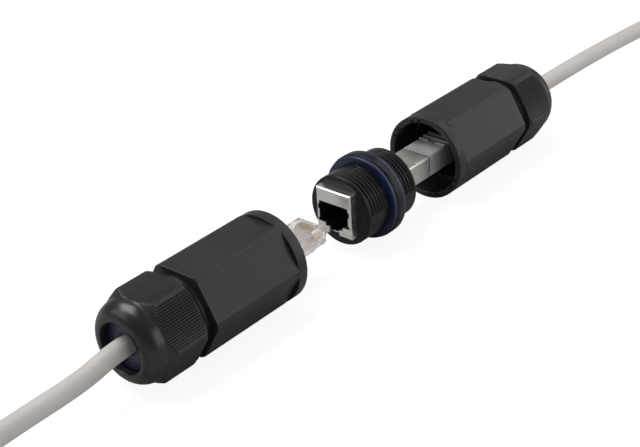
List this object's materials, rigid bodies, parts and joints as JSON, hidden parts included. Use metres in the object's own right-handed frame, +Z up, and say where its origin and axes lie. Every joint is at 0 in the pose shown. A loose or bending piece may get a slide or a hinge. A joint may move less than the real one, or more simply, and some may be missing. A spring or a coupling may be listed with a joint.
{
  "type": "rj45 inline coupler",
  "caption": "Waterproof inline coupler for network cables: a flanged threaded sleeve round a shielded jack, with hexagonal gland shells and nuts sliding on the cables.",
  "frame": {"origin": "middle of the front port, on the front face of the jack module", "axes": "+X runs along the cable axis from the front cable to the rear cable, +Z is up"},
  "size_m": [0.6282, 0.0314, 0.0308],
  "materials": {
    "black_nylon": "satin moulded nylon",
    "blue_rubber": "smooth silicone",
    "plated_metal": "satin nickel plate",
    "plug_metal": "satin nickel plate",
    "black_insert": "matte moulded plastic",
    "gold": "gold flash on phosphor bronze",
    "board": "solder mask",
    "clear_plastic": "clear polycarbonate",
    "wire_insulation": "smooth polyethylene",
    "cable_jacket": "satin PVC"
  },
  "bodies": {
    "coupler": {"threaded_sleeve": "black_nylon", "front_gasket": "blue_rubber", "rear_gasket": "blue_rubber", "front_shield": "plated_metal", "rear_shield": "plated_metal", "front_jack_insert": "black_insert", "rear_jack_insert": "black_insert", "front_jack_contacts": "gold", "rear_jack_contacts": "gold", "circuit_board": "board"},
    "front_cable": {"front_plug": "clear_plastic", "front_plug_contacts": "gold", "front_plug_wires": "wire_insulation", "front_plug_boot": "cable_jacket", "front_cord": "cable_jacket", "front_far_plug": "clear_plastic", "front_far_plug_contacts": "gold", "front_far_plug_wires": "wire_insulation", "front_far_plug_boot": "cable_jacket"},
    "front_seal": {"front_seal": "blue_rubber"},
    "front_shell": {"front_shell": "black_nylon"},
    "front_nut": {"front_gland_nut": "black_nylon"},
    "rear_cable": {"rear_plug_insert": "clear_plastic", "rear_plug_contacts": "gold", "rear_plug_wires": "wire_insulation", "rear_plug_shield": "plated_metal", "rear_plug_cap": "plug_metal", "rear_cord": "cable_jacket", "rear_far_plug": "clear_plastic", "rear_far_plug_contacts": "gold", "rear_far_plug_wires": "wire_insulation", "rear_far_plug_boot": "cable_jacket"},
    "rear_seal": {"rear_seal": "blue_rubber"},
    "rear_shell": {"rear_shell": "black_nylon"},
    "rear_nut": {"rear_gland_nut": "black_nylon"}
  },
  "joints": [
    {"name": "front_plug_slide", "type": "slide", "parent": "coupler", "child": "front_cable", "axis": [1, 0, 0], "range_m": [0, 0.019]},
    {"name": "front_seal_slide", "type": "slide", "parent": "front_cable", "child": "front_seal", "axis": [1, 0, 0], "range_m": [0, 0.0265]},
    {"name": "front_shell_turn", "type": "hinge", "parent": "front_seal", "child": "front_shell", "pos_m": [-0.0313, 0, 0], "axis": [1, 0, 0], "continuous": true},
    {"name": "front_nut_turn", "type": "hinge", "parent": "front_shell", "child": "front_nut", "pos_m": [-0.0759, 0, 0], "axis": [1, 0, 0], "range_deg": [-360, 720]},
    {"name": "rear_plug_slide", "type": "slide", "parent": "coupler", "child": "rear_cable", "axis": [1, 0, 0], "range_m": [0, 0.019]},
    {"name": "rear_seal_slide", "type": "slide", "parent": "rear_cable", "child": "rear_seal", "axis": [1, 0, 0], "range_m": [-0.0305, 0]},
    {"name": "rear_shell_turn", "type": "hinge", "parent": "rear_seal", "child": "rear_shell", "pos_m": [0.0505, 0, 0], "axis": [1, 0, 0], "continuous": true},
    {"name": "rear_nut_turn", "type": "hinge", "parent": "rear_shell", "child": "rear_nut", "pos_m": [0.0951, 0, 0], "axis": [1, 0, 0], "range_deg": [-720, 360]}
  ]
}
